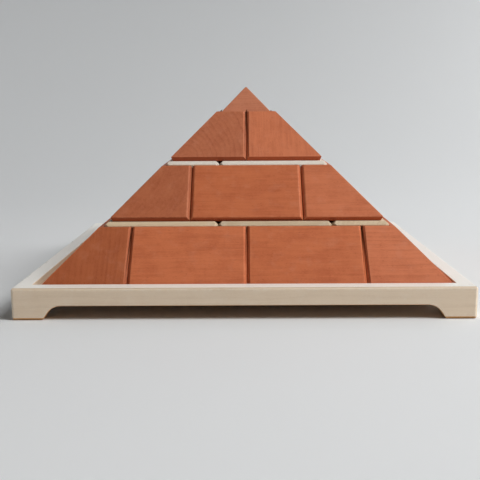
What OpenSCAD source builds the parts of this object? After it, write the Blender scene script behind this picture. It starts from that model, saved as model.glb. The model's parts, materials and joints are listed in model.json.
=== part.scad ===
// Block pyramid on a footed tray.
// Plain blocks of one and two cubes build a stepped core. Stained blocks with 45 degree
// faces case its steps, and a capstone closes the top. All the blocks are loose and lift
// straight up. The tray is glued: four mitred rails around a grooved-in panel.
// Origin: centre of the tray, at the level its feet stand on. +Z is up, -Y is the front.

/* [Blocks] */
// Edge of the cube that all the blocks are measured in
unit = 30; // [24:1:40]
// Free space between neighbouring blocks
block_gap = 0.2; // [0.1:0.05:0.4]
// Chamfer on every edge of a plain block
core_chamfer = 1.8; // [0.6:0.1:2.5]

/* [Casing] */
// How far the base course's sloped faces stay inside the whole-unit outline, at its base
base_inset = 0.1; // [0:0.1:1.4]
// The same for the middle and top courses
upper_inset = 0.7; // [0:0.1:1.4]
// How far the lower two courses stay below the top of the core step that they case
casing_drop = 2.1; // [1.5:0.1:4]
// Height of the top course, which has no core step to stay below
top_course_h = 27.1; // [25:0.1:28.5]
// Chamfer where two sloped faces meet at a joint
joint_chamfer = 1.5; // [0.6:0.1:2.5]
// Chamfer on the sharp lower edge, measured along each of its faces
toe_chamfer = 3.3; // [1:0.1:3.5]

/* [Capstone] */
// Free space on each side of the shank in its well
shank_play = 0.45; // [0.2:0.05:0.8]
// How far the shank's shoulder stays below the top course
shoulder_drop = 0.3; // [0:0.05:1]
// Slope of the capstone's faces, in degrees
cap_angle = 46.5; // [44:0.5:48]
// Width of the blunt tip
tip_w = 0.5; // [0.2:0.1:1.5]

/* [Tray] */
// Thickness of a rail
rail_t = 8.7; // [6:0.1:10]
// Height of a rail, from the feet to the rim
rail_h = 16; // [15.8:0.1:24]
// Depth of the recess, from the rim to the panel
recess_d = 3.3; // [2:0.1:3.5]
// Thickness of the panel
panel_t = 4; // [3:0.1:4.4]
// Depth of the groove that holds the panel's edge
groove_d = 3; // [2:0.1:4]
// Free space between the panel's edge and the bottom of its groove
panel_play = 0.3; // [0.1:0.1:1]
// Free space between the base course's blunt lower edge and each rail, with the blocks centred
recess_play = 2; // [1.6:0.1:3]
// Height of the arch under a rail
arch_h = 7; // [5.5:0.1:7.2]
// Length of a foot where it stands
foot_l = 15; // [12:0.1:24]
// Slope of the arch's sides where they leave the foot
arch_angle = 55; // [45:1:65]
// Radius between an arch's side and its flat top
arch_r = 7.9; // [4:0.1:9]
// Chamfer on the tray's outer edges
tray_ease = 1; // [0.4:0.1:1.5]
// How far the blocks stand right of the tray's centre, pushed towards the right rail
blocks_x = 1.5; // [0:0.1:1.5]

/* [Hidden] */
// Names of the corners and sides, anticlockwise as seen from above
CORNERS = ["front_left", "front_right", "back_right", "back_left"];
SIDES = ["front", "right", "back", "left"];
// The two halves of each side, in the same turning sense
HALVES = [["left", "right"], ["front", "back"], ["right", "left"], ["back", "front"]];
TURNS = [0:3];

STAINED = "#b5694a";
PLAIN = "#dcc8ac";
PALE = "#e0d0ba";

// Each block gives up half of the gap at each of its side faces
half_gap = block_gap / 2;
// A block is as high as it is wide, and the layers stand on each other with no gap
block_h = unit - block_gap;
casing_h = block_h - casing_drop;
// How far the toe chamfer reaches up and in from the sharp edge that it replaces
toe = toe_chamfer * sin(45);
// Half-widths of the courses' whole-unit outlines, in units
base_half = 3.5;
middle_half = 2.5;
top_half = 1.5;
// Length of a corner block's arm along each side, in units
arm_l = 1.5;
// Longer than any cut needs
over = 2 * unit;
// How far a joint cut's bar stands above the face, so that only its sharp edge cuts
cut_lift = 1;

shank_half = unit / 2 - shank_play;
shank_h = top_course_h - shoulder_drop;
capstone_h = shank_h + (shank_half - tip_w / 2) * tan(cap_angle);

recess_half = base_half * unit - base_inset - toe + recess_play;
tray_half = recess_half + rail_t;
panel_z = rail_h - recess_d;
panel_half = recess_half + groove_d - panel_play;

// The arch's side is a straight slope up to arch_slope_z, then a round up to the flat top
arch_foot_x = tray_half - foot_l;
arch_slope_z = arch_h - arch_r * (1 - cos(arch_angle));
arch_slope_x = arch_foot_x - arch_slope_z / tan(arch_angle);
arch_round_x = arch_slope_x - arch_r * sin(arch_angle);

// ---- helpers ----

// Stands an outline drawn in (y, z) upright and extrudes it from x0 to x1
module along_x(x0, x1) {
    translate([x0, 0, 0])
        rotate([90, 0, 90])
            linear_extrude(x1 - x0)
                children();
}

// Swaps x and y, so that what faces the front faces the left
module swap_xy() {
    mirror([1, -1, 0])
        children();
}

// Puts a front block on the side or corner that lies k quarter turns on
module quarter_turn(k) {
    rotate(90 * k)
        children();
}

// Lifts blocks to a layer of the pyramid, where it stands in the tray
module layer(level) {
    translate([blocks_x, 0, panel_z + level * block_h])
        children();
}

// Rectangle centred on the origin with its corners cut off
module cut_rectangle(w, d, c) {
    polygon([
        [-w / 2 + c, -d / 2], [w / 2 - c, -d / 2], [w / 2, -d / 2 + c], [w / 2, d / 2 - c],
        [w / 2 - c, d / 2], [-w / 2 + c, d / 2], [-w / 2, d / 2 - c], [-w / 2, -d / 2 + c]
    ]);
}

// ---- plain blocks ----

// Block over nx by ny cells with its nearest left corner at cell corner (x, y), all edges cut
module plain_block(x, y, nx, ny) {
    w = nx * unit - block_gap;
    d = ny * unit - block_gap;
    color(PLAIN)
        translate([(x + nx / 2) * unit, (y + ny / 2) * unit, block_h / 2])
            intersection() {
                translate([0, 0, -block_h / 2])
                    linear_extrude(block_h)
                        cut_rectangle(w, d, core_chamfer);
                along_x(-w / 2, w / 2)
                    cut_rectangle(d, block_h, core_chamfer);
                swap_xy()
                    along_x(-d / 2, d / 2)
                        cut_rectangle(w, block_h, core_chamfer);
            }
}

module lower_outer_corner() {
    plain_block(-2.5, -2.5, 2, 1);
}

module lower_outer_side() {
    plain_block(-0.5, -2.5, 2, 1);
}

module lower_inner() {
    plain_block(-1.5, -1.5, 2, 1);
}

module upper_ring() {
    plain_block(-0.5, -1.5, 2, 1);
}

module centre_cube() {
    plain_block(-0.5, -0.5, 1, 1);
}

// ---- casing ----

// Distance from the centre to the sloped face of a course of half-width n units, at its base
function face_distance(n) = n * unit - (n == base_half ? base_inset : upper_inset);

// Height of a course of half-width n units
function course_height(n) = n == top_half ? top_course_h : casing_h;

// Cross-section at the front of a course of half-width n units, inner being the distance of
// its flat back from the centre
module course_section(n, inner) {
    face_half = face_distance(n);
    h = course_height(n);
    polygon([
        [-inner, 0],
        [-face_half + toe_chamfer, 0],
        [-face_half + toe, toe],
        [-face_half + h, h],
        [-inner, h]
    ]);
}

// Cuts the edge that a sloped front face has at a joint at x, with a square bar laid along
// the edge on its corner, its axis cut_lift above the face
module joint_cut(face_half, x) {
    bar = (joint_chamfer + cut_lift) * sqrt(2);
    translate([x, -face_half + casing_h / 2, casing_h / 2])
        rotate([45, 0, 0])
            translate([0, 0, cut_lift])
                rotate([0, 45, 0])
                    cube([bar, over, bar], center = true);
}

// Straight casing block in a course of half-width n units, from x0 to x1 units
module edge_block(n, x0, x1) {
    face_half = face_distance(n);
    left = x0 * unit + half_gap;
    right = x1 * unit - half_gap;
    color(STAINED)
        difference() {
            along_x(left, right)
                course_section(n, (n - 1) * unit + half_gap);
            joint_cut(face_half, left);
            joint_cut(face_half, right);
        }
}

// L-shaped casing block at the front left corner of a course of half-width n units
module corner_block(n) {
    face_half = face_distance(n);
    arm_end = (n - arm_l) * unit + half_gap;
    notch = (n - 1) * unit + half_gap;
    color(STAINED)
        difference() {
            intersection() {
                along_x(-face_half, -arm_end)
                    course_section(n, arm_end);
                swap_xy()
                    along_x(-face_half, -arm_end)
                        course_section(n, arm_end);
            }
            translate([-notch, -notch, -over / 2])
                cube(over);
            joint_cut(face_half, -arm_end);
            swap_xy()
                joint_cut(face_half, -arm_end);
        }
}

module base_corner() {
    corner_block(base_half);
}

module base_edge(half) {
    edge_block(base_half, half == 0 ? arm_l - base_half : 0, half == 0 ? 0 : base_half - arm_l);
}

module middle_corner() {
    corner_block(middle_half);
}

module middle_edge() {
    edge_block(middle_half, arm_l - middle_half, middle_half - arm_l);
}

module top_corner() {
    corner_block(top_half);
}

// ---- capstone ----

// Outline of the capstone in (y, z), the same from the front and from the side
module capstone_outline() {
    polygon([
        [-shank_half + core_chamfer, 0], [shank_half - core_chamfer, 0],
        [shank_half, core_chamfer], [shank_half, shank_h],
        [tip_w / 2, capstone_h], [-tip_w / 2, capstone_h],
        [-shank_half, shank_h], [-shank_half, core_chamfer]
    ]);
}

module capstone() {
    color(STAINED)
        intersection() {
            along_x(-shank_half, shank_half)
                capstone_outline();
            swap_xy()
                along_x(-shank_half, shank_half)
                    capstone_outline();
        }
}

// ---- tray ----

// Cross-section of the front rail: outer edges eased, a groove inside for the panel
module rail_section() {
    difference() {
        polygon([
            [-tray_half + tray_ease, 0], [-recess_half, 0], [-recess_half, rail_h],
            [-tray_half + tray_ease, rail_h], [-tray_half, rail_h - tray_ease],
            [-tray_half, tray_ease]
        ]);
        translate([-recess_half - groove_d, panel_z - panel_t])
            square([2 * groove_d, panel_t]);
    }
}

// Plan of the front rail: mitred ends, the tray's upright outer edges eased
module rail_plan() {
    polygon([
        [-tray_half + tray_ease, -tray_half], [tray_half - tray_ease, -tray_half],
        [tray_half - tray_ease / 2, -tray_half + tray_ease / 2],
        [recess_half, -recess_half], [-recess_half, -recess_half],
        [-tray_half + tray_ease / 2, -tray_half + tray_ease / 2]
    ]);
}

// Half of the opening under a rail, in (x, z), from the middle to the foot on the right
module arch_half() {
    polygon([
        [0, -arch_h],
        [arch_foot_x + arch_h / tan(arch_angle), -arch_h],
        [arch_slope_x, arch_slope_z],
        [arch_round_x, arch_h],
        [0, arch_h]
    ]);
    translate([arch_round_x, arch_h - arch_r])
        circle(r = arch_r, $fn = 96);
}

module tray_rail() {
    color(PALE)
        difference() {
            intersection() {
                along_x(-tray_half, tray_half)
                    rail_section();
                linear_extrude(rail_h)
                    rail_plan();
            }
            translate([0, -recess_half + rail_t / 2, 0])
                rotate([90, 0, 0])
                    linear_extrude(2 * rail_t)
                        union() {
                            arch_half();
                            mirror([1, 0])
                                arch_half();
                        }
        }
}

module tray_panel() {
    color(PALE)
        translate([-panel_half, -panel_half, panel_z - panel_t])
            cube([2 * panel_half, 2 * panel_half, panel_t]);
}

// ---- nodes ----

tray_panel();
layer(2) capstone();
layer(0) centre_cube();  // lower_centre
layer(1) centre_cube();  // upper_centre

for (k = TURNS) {
    side = SIDES[k];
    corner = CORNERS[k];
    quarter_turn(k) tray_rail();
    layer(0) quarter_turn(k) base_corner();
    layer(0) quarter_turn(k) base_edge(0);
    layer(0) quarter_turn(k) base_edge(1);
    layer(1) quarter_turn(k) middle_corner();
    layer(1) quarter_turn(k) middle_edge();
    layer(2) quarter_turn(k) top_corner();
    layer(0) quarter_turn(k) lower_outer_corner();
    layer(0) quarter_turn(k) lower_outer_side();
    layer(0) quarter_turn(k) lower_inner();
    layer(1) quarter_turn(k) upper_ring();
}
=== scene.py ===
"""Looks of the wooden block pyramid on its footed tray.

Every CAD node is replaced by a finished piece made from it: its edges are rounded, a narrow
band beside each edge is marked for wear, and it gets a wood of its own, with growth rings,
fibres and flecks that run through the solid as they do in a sawn block.
"""

import json
import math
import random
from collections import namedtuple

import bmesh
import bpy
from mathutils import Matrix, Vector


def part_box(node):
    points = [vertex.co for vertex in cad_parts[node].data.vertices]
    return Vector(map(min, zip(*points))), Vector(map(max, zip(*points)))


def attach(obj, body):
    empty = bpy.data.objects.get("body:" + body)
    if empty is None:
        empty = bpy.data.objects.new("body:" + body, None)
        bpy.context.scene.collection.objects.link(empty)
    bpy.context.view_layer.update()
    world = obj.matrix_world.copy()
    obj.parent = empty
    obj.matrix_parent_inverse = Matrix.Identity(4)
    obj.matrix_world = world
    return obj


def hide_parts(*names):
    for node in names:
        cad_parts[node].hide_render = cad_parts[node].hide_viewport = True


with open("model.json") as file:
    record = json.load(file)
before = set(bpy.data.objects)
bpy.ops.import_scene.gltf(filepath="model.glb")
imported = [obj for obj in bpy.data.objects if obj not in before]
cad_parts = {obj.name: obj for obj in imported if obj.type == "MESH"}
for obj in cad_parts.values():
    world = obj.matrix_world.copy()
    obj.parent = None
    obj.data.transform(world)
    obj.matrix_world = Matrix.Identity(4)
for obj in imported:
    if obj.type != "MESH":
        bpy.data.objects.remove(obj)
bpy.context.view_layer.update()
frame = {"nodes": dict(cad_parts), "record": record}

MM = 0.001
SIDES = ("front", "right", "back", "left")

# ---- meshes ----

FLAT_ANGLE = math.radians(1)
SAME_POINT = 0.002 * MM
# Shorter edges are merged at the capstone's tip, before it is rounded
SLIVER = 0.51 * MM
# Sharper outward edges are rounded
CREASE_ANGLE = math.radians(24)
# Flatter edges are shaded smooth
SHARP_ANGLE = math.radians(38)
MITRE_TOLERANCE = 0.1
ROUND_SEGMENTS = 3
ROUND_PROFILE = 0.5
# Width of the band beside each edge, and its largest share of a narrow face
BAND = 1.2 * MM
BAND_SHARE = 0.3
# How near to an edge a point counts as, on a rounded edge and at the rim of a flat face
EDGE_ON_ROUND = 1.0
EDGE_ON_RIM = 0.5
NORMAL_WEIGHT = 100


def is_mitre(face):
    """True for the glued end of a rail, which lies in a plane through the tray's centre line."""
    normal = face.normal
    centre = face.calc_center_median()
    outward = Vector((centre.x, centre.y, 0)).normalized()
    diagonal = abs(abs(normal.x) - abs(normal.y)) < MITRE_TOLERANCE
    upright = abs(normal.z) < MITRE_TOLERANCE
    return diagonal and upright and abs(normal.dot(outward)) < MITRE_TOLERANCE


def creases(bm, keep_mitres):
    """The outward edges of a solid, apart from those of its glued ends."""
    found = []
    for edge in bm.edges:
        if len(edge.link_faces) != 2 or not edge.is_convex:
            continue
        if keep_mitres and any(is_mitre(face) for face in edge.link_faces):
            continue
        if edge.calc_face_angle() > CREASE_ANGLE:
            found.append(edge)
    return found


def mark_bands(bm):
    """Insets every flat face, and stores on each point how near to an edge it lies."""
    layer = bm.verts.layers.float.new("edge")
    rims = set()
    for face in [f for f in bm.faces if not f.smooth]:
        rims.update(face.verts)
        width = 2 * face.calc_area() / face.calc_perimeter()
        thickness = min(BAND, BAND_SHARE * width)
        bmesh.ops.inset_individual(bm, faces=[face], thickness=thickness, use_even_offset=True)
        rims.difference_update(face.verts)
        for vertex in face.verts:
            vertex[layer] = 0.0
    for face in bm.faces:
        if face.smooth:
            for vertex in face.verts:
                vertex[layer] = EDGE_ON_ROUND
    for vertex in rims:
        vertex[layer] = EDGE_ON_RIM


def merge_splits(bm, drop_slivers):
    """Merges what the tessellation splits, so that each flat face is one face."""
    bmesh.ops.remove_doubles(bm, verts=bm.verts, dist=SAME_POINT)
    bmesh.ops.dissolve_limit(bm, angle_limit=FLAT_ANGLE, verts=bm.verts, edges=bm.edges)
    if drop_slivers:
        slivers = [edge for edge in bm.edges if edge.calc_length() < SLIVER]
        bmesh.ops.collapse(bm, edges=slivers)
    bm.normal_update()


def round_edges(bm, radius, keep_mitres):
    """Rounds the outward edges, and leaves only the rounded faces marked smooth."""
    for face in bm.faces:
        face.smooth = False
    rounded = bmesh.ops.bevel(
        bm,
        geom=creases(bm, keep_mitres),
        offset=radius,
        offset_type="OFFSET",
        segments=ROUND_SEGMENTS,
        profile=ROUND_PROFILE,
        affect="EDGES",
        clamp_overlap=True,
    )
    for face in rounded["faces"]:
        face.smooth = True


def finished_mesh(node, radius, keep_mitres=False, drop_slivers=False):
    """The node's solid with rounded edges and a band beside each of them."""
    mesh = frame["nodes"][node].data.copy()
    mesh.name = node + "_mesh"
    bm = bmesh.new()
    bm.from_mesh(mesh)
    merge_splits(bm, drop_slivers)
    round_edges(bm, radius, keep_mitres)
    mark_bands(bm)
    bmesh.ops.remove_doubles(bm, verts=bm.verts, dist=SAME_POINT)
    bm.normal_update()
    for face in bm.faces:
        face.smooth = True
        face.material_index = 0
    for edge in bm.edges:
        edge.smooth = len(edge.link_faces) == 2 and edge.calc_face_angle() < SHARP_ANGLE
    bm.to_mesh(mesh)
    bm.free()
    mesh.materials.clear()
    return mesh


def add_piece(node, mesh, material):
    """Puts a finished piece in place of its CAD node."""
    piece = bpy.data.objects.new(node + "_wood", mesh)
    bpy.context.scene.collection.objects.link(piece)
    mesh.materials.append(material)
    shading = piece.modifiers.new("flat_faces", "WEIGHTED_NORMAL")
    shading.weight = NORMAL_WEIGHT
    shading.keep_sharp = True
    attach(piece, BODY_OF[node])
    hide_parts(node)


BODY_OF = {
    node: body
    for body, nodes in frame["record"]["behaviour"]["bodies"].items()
    for node in nodes
}


# ---- node trees ----


class Graph:
    """Builds the node tree of one material."""

    def __init__(self, name):
        self.material = bpy.data.materials.new(name)
        self.material.use_nodes = True
        self.tree = self.material.node_tree
        self.tree.nodes.clear()

    def add(self, kind, inputs=(), **settings):
        node = self.tree.nodes.new("ShaderNode" + kind)
        for key, value in settings.items():
            setattr(node, key, value)
        for socket, value in dict(inputs).items():
            if isinstance(value, bpy.types.NodeSocket):
                self.tree.links.new(value, node.inputs[socket])
            else:
                node.inputs[socket].default_value = value
        return node

    def math(self, operation, a, b=0.0):
        return self.add("Math", {0: a, 1: b}, operation=operation).outputs[0]

    def vector(self, operation, a, b):
        return self.add("VectorMath", {0: a, 1: b}, operation=operation).outputs[0]

    def smooth(self, value, low, high, out_low=0.0, out_high=1.0):
        inputs = {"Value": value, "From Min": low, "From Max": high}
        inputs.update({"To Min": out_low, "To Max": out_high})
        return self.add("MapRange", inputs, interpolation_type="SMOOTHSTEP").outputs[0]

    def noise(self, vector, scale, detail=2.0, roughness=0.5):
        inputs = {"Vector": vector, "Scale": scale, "Detail": detail, "Roughness": roughness}
        return self.add("TexNoise", inputs)

    def mix(self, factor, a, b):
        return self.add("Mix", {0: factor, 6: a, 7: b}, data_type="RGBA").outputs[2]

    def finish(self, shader):
        self.add("OutputMaterial", {"Surface": shader.outputs[0]})
        return self.material


def colour(r, g, b):
    return (r, g, b, 1.0)


# ---- wood ----

# Each look: colours are linear, and ring_gap and bump are in millimetres. rings, fibres, flecks,
# mottle and wear say how strongly each shows. The colour for faces that look downwards is painted
# shade: the undercut toes of the courses and the tray's underside lie in shade.
STAINED = {
    "light": colour(0.60, 0.165, 0.062),
    "dark": colour(0.40, 0.085, 0.028),
    "worn": colour(0.68, 0.24, 0.11),
    "end": colour(0.27, 0.055, 0.018),
    # Painted shade for faces that look downwards
    "under": colour(0.43, 0.085, 0.026),
    "faded": colour(0.62, 0.27, 0.17),
    "ring_gap": 2.6,
    "rings": 0.14,
    "fibres": 0.26,
    "flecks": 0.46,
    "mottle": 0.26,
    "wear": 0.4,
    "roughness": 0.52,
    "specular": 0.25,
    "bump": 0.05,
}
PLAIN = {
    "light": colour(0.80, 0.64, 0.44),
    "dark": colour(0.58, 0.40, 0.24),
    "worn": colour(0.84, 0.72, 0.54),
    "end": colour(0.52, 0.38, 0.25),
    # Painted shade for faces that look downwards
    "under": colour(0.50, 0.36, 0.22),
    "faded": colour(0.80, 0.77, 0.72),
    "ring_gap": 2.2,
    "rings": 0.22,
    "fibres": 0.22,
    "flecks": 0.20,
    "mottle": 0.15,
    "wear": 0.3,
    "roughness": 0.55,
    "specular": 0.3,
    "bump": 0.05,
}
PALE = {
    "light": colour(0.79, 0.645, 0.49),
    "dark": colour(0.64, 0.49, 0.345),
    "worn": colour(0.84, 0.76, 0.66),
    "end": colour(0.66, 0.52, 0.38),
    # Painted shade for faces that look downwards, browned so that the shade under the tray looks
    # brown
    "under": colour(0.58, 0.30, 0.11),
    "faded": colour(0.86, 0.78, 0.66),
    "ring_gap": 3.0,
    "rings": 0.18,
    "fibres": 0.22,
    "flecks": 0.10,
    "mottle": 0.14,
    "wear": 0.5,
    "roughness": 0.28,
    "specular": 0.5,
    "bump": 0.04,
}

# The tray's rim is painted paler than its sides, a painted highlight standing in for the stronger
# light that falls on its top
RAIL = {**PALE, "top": colour(0.95, 0.93, 0.88)}

# Turns that bring an axis of the pyramid, or the front slope, to local X, the way of the grain
ALONG_Y = Matrix.Rotation(math.radians(-90), 3, "Z")
GRAIN = {
    "x": Matrix.Identity(3),
    "y": ALONG_Y,
    "slope": ALONG_Y @ Matrix.Rotation(math.radians(-45), 3, "X"),
}

# Lengths in the wood are in millimetres, and noise scales are per millimetre. Ranges are the two
# values that a mask fades between.
MM_PER_METRE = 1000
SEED_STEPS = (137.0, 71.0, 43.0)
NOISE_DETAIL = 3.0
NOISE_ROUGHNESS = 0.6
DRIFT_STRETCH = 0.3
DRIFT_SCALE = 0.06
WOBBLE = 6.0
LATE_WOOD = (0.25, 0.9)
RING_END = (0.9, 1.0)
FAINTEST_YEAR = 0.35
FLECK_STRETCH = (0.42, 1.7, 1.7)
FLECK_DASH = (0.05, 0.3)
FLECK_CHOSEN = (0.45, 0.8)
COARSE_STRETCH = 0.07
COARSE_SCALE = 0.8
FINE_STRETCH = 0.4
FINE_SCALE = 2.4
FINE_DETAIL = 2.0
FINE_SHARE = 0.7
FIBRE_RANGE = (0.6, 1.1)
MOTTLE_SCALE = 0.09
MOTTLE_RANGE = (0.3, 0.7)
BLEACH_SCALE = 0.16
BLEACH_RANGE = (0.5, 0.75)
BLEACH_SHARE = 0.16
PATCH_SCALE = 0.35
PATCH_RANGE = (0.35, 0.7)
# Ranges of the direction that a face looks in
END_RANGE = (0.78, 0.97)
END_SHARE = 0.7
# Faces that look down get painted shade, which fades in over this range
SHADE_BELOW_RANGE = (0.1, 0.35)
# Faces that look up get the painted highlight, which fades in over this range
TOP_HIGHLIGHT_RANGE = (0.8, 0.98)
# Surface
ROUGH_SPREAD = 0.05
EDGE_POLISH = 0.06
FLECK_DEPTH = 0.5
COARSE_HEIGHT = 0.6

# One sawn board. tone darkens or lightens its finish, fade greys it.
Board = namedtuple("Board", "look grain centre pith seed tone fade ring_share")


def board_places(graph, board):
    """Two vectors in millimetres in the board's own sawn axes: one from the pith, and one shifted
    by the seed so that no two boards share a pattern."""
    turn = GRAIN[board.grain].to_euler()
    place = graph.add("TexCoord").outputs["Object"]
    shifted = graph.vector("SUBTRACT", place, tuple(board.centre))
    scale = (MM_PER_METRE,) * 3
    turned = graph.add("Mapping", {"Vector": shifted, "Rotation": turn, "Scale": scale})
    from_pith = graph.vector("SUBTRACT", turned.outputs[0], (0.0, *board.pith))
    shift = tuple(step * board.seed for step in SEED_STEPS)
    return from_pith, graph.vector("ADD", from_pith, shift)


def stretched(graph, place, share):
    """A place that changes only by this share along the grain."""
    return graph.vector("MULTIPLY", place, (share, 1.0, 1.0))


def cloud_mask(graph, place, scale, limits):
    clouds = graph.noise(place, scale, NOISE_DETAIL, NOISE_ROUGHNESS).outputs[0]
    return graph.smooth(clouds, *limits)


def ring_mask(graph, from_pith, wobble, ring_gap):
    """Late wood: 1 on the dark side of each growth ring, which ends sharply."""
    warped = graph.vector("ADD", from_pith, wobble)
    across = graph.vector("MULTIPLY", warped, (0.0, 1.0, 1.0))
    distance = graph.add("VectorMath", {0: across}, operation="LENGTH").outputs["Value"]
    phase = graph.math("DIVIDE", distance, ring_gap)
    part = graph.math("FRACT", phase)
    rise = graph.smooth(part, *LATE_WOOD)
    fall = graph.smooth(part, *RING_END, 1.0, 0.0)
    ring = graph.math("MULTIPLY", rise, fall)
    year = graph.add("TexWhiteNoise", {"W": graph.math("FLOOR", phase)}, noise_dimensions="1D")
    strength = graph.smooth(year.outputs["Value"], 0.0, 1.0, FAINTEST_YEAR, 1.0)
    return graph.math("MULTIPLY", ring, strength)


def fleck_mask(graph, place):
    """Short dark dashes along the grain."""
    cells_at = graph.vector("MULTIPLY", place, FLECK_STRETCH)
    cells = graph.add("TexVoronoi", {"Vector": cells_at, "Scale": 1.0, "Randomness": 1.0})
    dash = graph.smooth(cells.outputs["Distance"], *FLECK_DASH, 1.0, 0.0)
    chosen = graph.add("SeparateColor", {0: cells.outputs["Color"]}).outputs[0]
    return graph.math("MULTIPLY", dash, graph.smooth(chosen, *FLECK_CHOSEN))


def end_mask(graph, grain):
    """1 where the surface cuts across the fibres."""
    axis = GRAIN[grain].inverted() @ Vector((1, 0, 0))
    normal = graph.add("TexCoord").outputs["Normal"]
    dot = graph.add("VectorMath", {0: normal, 1: tuple(axis)}, operation="DOT_PRODUCT")
    return graph.smooth(graph.math("ABSOLUTE", dot.outputs["Value"]), *END_RANGE)


def upward(graph):
    """How far a face looks upwards, from -1 to 1."""
    normal = graph.add("TexCoord").outputs["Normal"]
    return graph.add("SeparateXYZ", {0: normal}).outputs["Z"]


def under_mask(graph):
    """1 on faces that look downwards, such as a course's undercut lower edge, where shade is
    painted.
    """
    return graph.smooth(graph.math("MULTIPLY", upward(graph), -1.0), *SHADE_BELOW_RANGE)


def blended(first, second, share):
    return tuple(a + (b - a) * share for a, b in zip(first, second))


def aged(look, tone, fade):
    """The light and dark colours of a block, greyed by fade and then scaled by tone."""
    light = blended(look["light"], look["faded"], fade)
    change = [tone * new / old for new, old in zip(light, look["light"])][:3]
    return [colour(*(c * k for c, k in zip(look[key], change))) for key in ("light", "dark")]


def wood_marks(graph, board):
    """The marks in the wood, each from 0 to 1, with the place and noises they are drawn from."""
    from_pith, place = board_places(graph, board)
    drift = graph.noise(stretched(graph, place, DRIFT_STRETCH), DRIFT_SCALE).outputs["Color"]
    centred = graph.vector("SUBTRACT", drift, (0.5,) * 3)
    wobble = graph.vector("MULTIPLY", centred, (WOBBLE,) * 3)
    long = stretched(graph, place, COARSE_STRETCH)
    coarse = graph.noise(long, COARSE_SCALE, NOISE_DETAIL, NOISE_ROUGHNESS).outputs[0]
    short = stretched(graph, place, FINE_STRETCH)
    fine = graph.noise(short, FINE_SCALE, FINE_DETAIL, NOISE_ROUGHNESS).outputs[0]
    both = graph.math("ADD", coarse, graph.math("MULTIPLY", fine, FINE_SHARE))
    return {
        "place": place,
        "coarse": coarse,
        "fine": fine,
        "rings": ring_mask(graph, from_pith, wobble, board.look["ring_gap"]),
        "fibres": graph.smooth(both, *FIBRE_RANGE),
        "flecks": fleck_mask(graph, place),
        "mottle": cloud_mask(graph, place, MOTTLE_SCALE, MOTTLE_RANGE),
    }


def grain_colour(graph, board, marks):
    """Light wood darkened by its marks, with soaked end grain and bleached patches."""
    look = board.look
    light, dark_wood = aged(look, board.tone, board.fade)
    dark = graph.math("MULTIPLY", marks["rings"], board.ring_share)
    for mark in ("fibres", "flecks", "mottle"):
        dark = graph.math("ADD", dark, graph.math("MULTIPLY", marks[mark], look[mark]))
    tint = graph.mix(graph.smooth(dark, 0.0, 1.0), light, dark_wood)
    ends = end_mask(graph, board.grain)
    tint = graph.mix(graph.math("MULTIPLY", ends, END_SHARE), tint, look["end"])
    bleached = cloud_mask(graph, marks["place"], BLEACH_SCALE, BLEACH_RANGE)
    return graph.mix(graph.math("MULTIPLY", bleached, BLEACH_SHARE), tint, look["faded"])


def face_colour(graph, board, marks, near, tint):
    """The grain's colour with worn edges, with painted shade on faces that look downwards, and with
    a painted highlight on faces that look up where the look has one.
    """
    look = board.look
    patchy = cloud_mask(graph, marks["place"], PATCH_SCALE, PATCH_RANGE)
    wear = graph.math("MULTIPLY", graph.math("MULTIPLY", near, patchy), look["wear"])
    tint = graph.mix(wear, tint, look["worn"])
    # Painted shade on faces that look downwards, scaled by the block's tone
    under = colour(*(board.tone * part for part in look["under"][:3]))
    tint = graph.mix(under_mask(graph), tint, under)
    # Painted highlight on faces that look up, where the look has one
    if "top" in look:
        tint = graph.mix(graph.smooth(upward(graph), *TOP_HIGHLIGHT_RANGE), tint, look["top"])
    return tint


def wood_roughness(graph, look, marks, near):
    rough = graph.math("ADD", marks["fibres"], marks["mottle"])
    rough = graph.math("ADD", graph.math("MULTIPLY", rough, ROUGH_SPREAD), look["roughness"])
    return graph.math("SUBTRACT", rough, graph.math("MULTIPLY", near, EDGE_POLISH))


def wood_normal(graph, look, marks):
    """Raised fibres and sunk flecks."""
    height = graph.math("MULTIPLY", marks["flecks"], FLECK_DEPTH)
    height = graph.math("SUBTRACT", marks["fine"], height)
    coarse = graph.math("MULTIPLY", marks["coarse"], COARSE_HEIGHT)
    height = graph.math("ADD", height, coarse)
    distance = look["bump"] * MM
    inputs = {"Height": height, "Strength": 1.0, "Distance": distance}
    return graph.add("Bump", inputs).outputs[0]


def wood(name, board):
    """The material of one sawn board."""
    graph = Graph(name)
    look = board.look
    marks = wood_marks(graph, board)
    near = graph.add("Attribute", attribute_name="edge").outputs["Fac"]
    tint = grain_colour(graph, board, marks)
    inputs = {
        "Base Color": face_colour(graph, board, marks, near, tint),
        "Roughness": wood_roughness(graph, look, marks, near),
        "Normal": wood_normal(graph, look, marks),
        "Specular IOR Level": look["specular"],
    }
    return graph.finish(graph.add("BsdfPrincipled", inputs))


# ---- the blocks ----

BLOCK_RADIUS = 0.45 * MM
CORE_RADIUS = 0.3 * MM
TRAY_RADIUS = 0.35 * MM

# Tone, fade and grain of the blocks that face the front, from left to right in each course
FRONT_TONES = {
    "base_corner_front_left": (0.74, 0.0, "slope"),
    "base_edge_front_left": (1.04, 0.08, "x"),
    "base_edge_front_right": (0.99, 0.02, "x"),
    "base_corner_front_right": (1.05, 0.15, "x"),
    "middle_corner_front_left": (0.77, 0.16, "y"),
    "middle_edge_front": (0.95, 0.03, "x"),
    "middle_corner_front_right": (1.01, 0.15, "x"),
    "top_corner_front_left": (0.82, 0.28, "y"),
    "top_corner_front_right": (1.06, 0.22, "slope"),
    "capstone": (0.92, 0.56, "x"),
    "lower_outer_corner_front": (0.90, 0.0, "x"),
    "lower_outer_side_front": (0.78, 0.0, "x"),
}
# Where the growth rings of a block centre, across its grain, for rings that show as arcs
FRONT_PITH = {"top_corner_front_left": (13, -12), "base_corner_front_left": (30, 14)}
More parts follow.
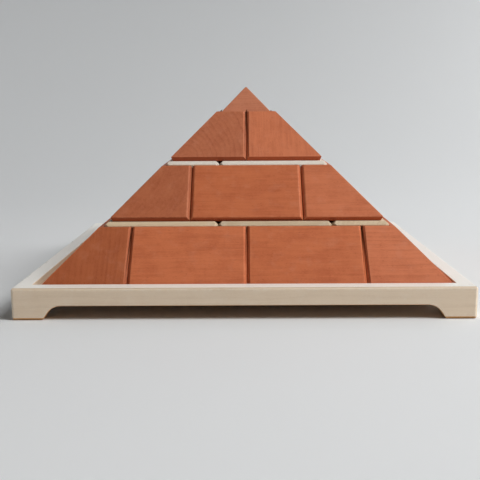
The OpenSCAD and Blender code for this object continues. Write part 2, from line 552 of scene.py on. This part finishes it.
# How strongly those rings show
FRONT_RINGS = {"top_corner_front_left": 0.22, "base_corner_front_left": 0.12, "capstone": 0.04}
# The small upper core is cut from a whiter, greyer plank
UPPER_CORE_TONE = 1.0
UPPER_CORE_FADE = 0.85
LOWER_CORE_TONE = 0.86
RAIL_TONE = 1.03
PANEL_TONE = 0.95
# What is drawn for each block: how far its pith lies, in millimetres, its seed and its tone
PITH_NEAREST = (18, 10)
PITH_FARTHEST = 60
SEED_RANGE = (1, 20)
TONE_RANGE = (0.88, 1.08)


def middle_of(node):
    low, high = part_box(node)
    return (low + high) / 2


def node_seed(node):
    """A steady seed from a node's name."""
    return sum((place + 1) * ord(letter) for place, letter in enumerate(node))


def own_wood(node, look, grain, tone=None, fade=0.0):
    """A wood with its own log position, drawn from the node's seed."""
    draw = random.Random(node_seed(node))
    drawn_pith = [draw.uniform(near, PITH_FARTHEST) * draw.choice((-1, 1)) for near in PITH_NEAREST]
    pith = FRONT_PITH.get(node, drawn_pith)
    seed = draw.uniform(*SEED_RANGE)
    own_tone = draw.uniform(*TONE_RANGE)
    if tone is None:
        tone = own_tone
    ring_share = FRONT_RINGS.get(node, look["rings"])
    board = Board(look, grain, middle_of(node), pith, seed, tone, fade, ring_share)
    return wood(node + "_finish", board)


def long_axis(node):
    low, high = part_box(node)
    size = high - low
    return "x" if size.x >= size.y else "y"


def make_blocks(prefixes, look, radius, usual_tone=None, usual_fade=0.0):
    for node in sorted(frame["nodes"]):
        if not node.startswith(prefixes):
            continue
        tone, fade, grain = FRONT_TONES.get(node, (usual_tone, usual_fade, long_axis(node)))
        mesh = finished_mesh(node, radius, drop_slivers=node == "capstone")
        add_piece(node, mesh, own_wood(node, look, grain, tone, fade))


def make_tray():
    for side in SIDES:
        node = "tray_rail_" + side
        mesh = finished_mesh(node, TRAY_RADIUS, keep_mitres=True)
        add_piece(node, mesh, own_wood(node, RAIL, long_axis(node), RAIL_TONE))
    mesh = finished_mesh("tray_panel", TRAY_RADIUS)
    add_piece("tray_panel", mesh, own_wood("tray_panel", PALE, "x", PANEL_TONE))


# ---- studio ----

STAGE_RADIUS = 2.3
STAGE_SWEEP = 1.85
STAGE_HEIGHT = 2.0
STAGE_SIDES = 96
# The front of the studio is painted darker between these two depths
STAGE_DIM_START = -0.5
STAGE_DIM_END = -1.2
SWEEP_STEPS = 16
PAINT = (colour(0.76, 0.785, 0.81), colour(0.78, 0.805, 0.83))
PAINT_BEHIND_CAMERA = colour(0.32, 0.27, 0.23)
PAINT_SCALE = 2.0
PAINT_ROUGHNESS = 0.9


def stage_profile():
    """Radius and height along the backdrop, from the middle of the floor up the wall."""
    points = [(STAGE_RADIUS - STAGE_SWEEP, 0.0)]
    for step in range(1, SWEEP_STEPS + 1):
        angle = math.pi / 2 * step / SWEEP_STEPS
        radius = STAGE_RADIUS - STAGE_SWEEP + STAGE_SWEEP * math.sin(angle)
        points.append((radius, STAGE_SWEEP * (1 - math.cos(angle))))
    return points + [(STAGE_RADIUS, STAGE_HEIGHT)]


def make_stage():
    """A round pale floor that sweeps up into a wall all round."""
    bm = bmesh.new()
    angles = [2 * math.pi * k / STAGE_SIDES for k in range(STAGE_SIDES)]
    loops = []
    for radius, height in stage_profile():
        ring = [(radius * math.cos(angle), radius * math.sin(angle), height) for angle in angles]
        loops.append([bm.verts.new(point) for point in ring])
    bm.faces.new(loops[0])
    for lower, upper in zip(loops, loops[1:]):
        for k in range(STAGE_SIDES):
            after = (k + 1) % STAGE_SIDES
            bm.faces.new((lower[k], lower[after], upper[after], upper[k]))
    bmesh.ops.recalc_face_normals(bm, faces=bm.faces)
    for face in bm.faces:
        face.smooth = True
    mesh = bpy.data.meshes.new("studio_mesh")
    bm.to_mesh(mesh)
    bm.free()
    stage = bpy.data.objects.new("studio_floor", mesh)
    bpy.context.scene.collection.objects.link(stage)
    mesh.materials.append(stage_material())


def stage_material():
    """Matt paper-white paint."""
    graph = Graph("studio_paint")
    place = graph.add("TexCoord").outputs["Object"]
    cloud = graph.noise(place, PAINT_SCALE).outputs[0]
    tint = graph.mix(cloud, *PAINT)
    depth = graph.add("SeparateXYZ", {0: place}).outputs["Y"]
    behind = graph.smooth(depth, STAGE_DIM_START, STAGE_DIM_END)
    tint = graph.mix(behind, tint, PAINT_BEHIND_CAMERA)
    inputs = {"Base Color": tint, "Roughness": PAINT_ROUGHNESS}
    return graph.finish(graph.add("BsdfPrincipled", inputs))


OBJECT_MIDDLE = (0, 0, 0.05)
WALL_MIDDLE = (0, 1.6, 0.5)
WARM_WHITE = (1.0, 0.985, 0.96)
AIR_COLOUR = colour(0.93, 0.97, 1.0)
AIR_STRENGTH = 0.02


def area_light(name, place, aim, size, power):
    """A soft round lamp that the camera does not see; size in metres, power in watts."""
    light = bpy.data.lights.new(name, "AREA")
    light.shape = "DISK"
    light.size = size
    light.energy = power
    light.color = WARM_WHITE
    lamp = bpy.data.objects.new(name, light)
    bpy.context.scene.collection.objects.link(lamp)
    lamp.location = place
    lamp.rotation_euler = (Vector(aim) - Vector(place)).to_track_quat("-Z", "Y").to_euler()
    lamp.visible_camera = False


def make_lights():
    area_light("key_light", (1.25, -0.5, 1.15), OBJECT_MIDDLE, 0.8, 17.6)
    area_light("high_light", (0.9, -0.45, 1.6), OBJECT_MIDDLE, 0.8, 10.4)
    area_light("side_light", (1.5, 0.4, 1.1), OBJECT_MIDDLE, 1.2, 3.8)
    area_light("wall_light", (1.3, 0.9, 0.9), WALL_MIDDLE, 0.6, 6.4)
    world = bpy.data.worlds.new("studio_air")
    bpy.context.scene.world = world
    world.use_nodes = True
    sky = world.node_tree.nodes["Background"]
    sky.inputs["Color"].default_value = AIR_COLOUR
    sky.inputs["Strength"].default_value = AIR_STRENGTH


# The camera looks a little down from in front, a hair left of straight on
CAMERA_PLACE = (0.0011, -0.5006, 0.1023)
CAMERA_LENS = 61.52
CAMERA_DOWN = math.radians(9.246)
CAMERA_TURN = math.radians(0.422)
CAMERA_ROLL = math.radians(-0.334)
SENSOR_WIDTH = 36
NEAREST_SEEN = 0.01


def make_camera():
    data = bpy.data.cameras.new("camera")
    data.lens = CAMERA_LENS
    data.sensor_width = SENSOR_WIDTH
    data.clip_start = NEAREST_SEEN
    camera = bpy.data.objects.new("camera", data)
    bpy.context.scene.collection.objects.link(camera)
    turn = Matrix.Rotation(CAMERA_TURN, 4, "Z")
    tilt = Matrix.Rotation(math.pi / 2 - CAMERA_DOWN, 4, "X")
    roll = Matrix.Rotation(CAMERA_ROLL, 4, "Z")
    camera.matrix_world = Matrix.Translation(CAMERA_PLACE) @ turn @ tilt @ roll
    bpy.context.scene.camera = camera


def main():
    bpy.context.scene.view_settings.view_transform = "Standard"
    make_camera()
    make_stage()
    make_lights()
    make_tray()
    make_blocks("upper_", PLAIN, CORE_RADIUS, UPPER_CORE_TONE, UPPER_CORE_FADE)
    make_blocks("lower_", PLAIN, CORE_RADIUS, LOWER_CORE_TONE)
    make_blocks(("base_", "middle_", "top_", "capstone"), STAINED, BLOCK_RADIUS)


main()
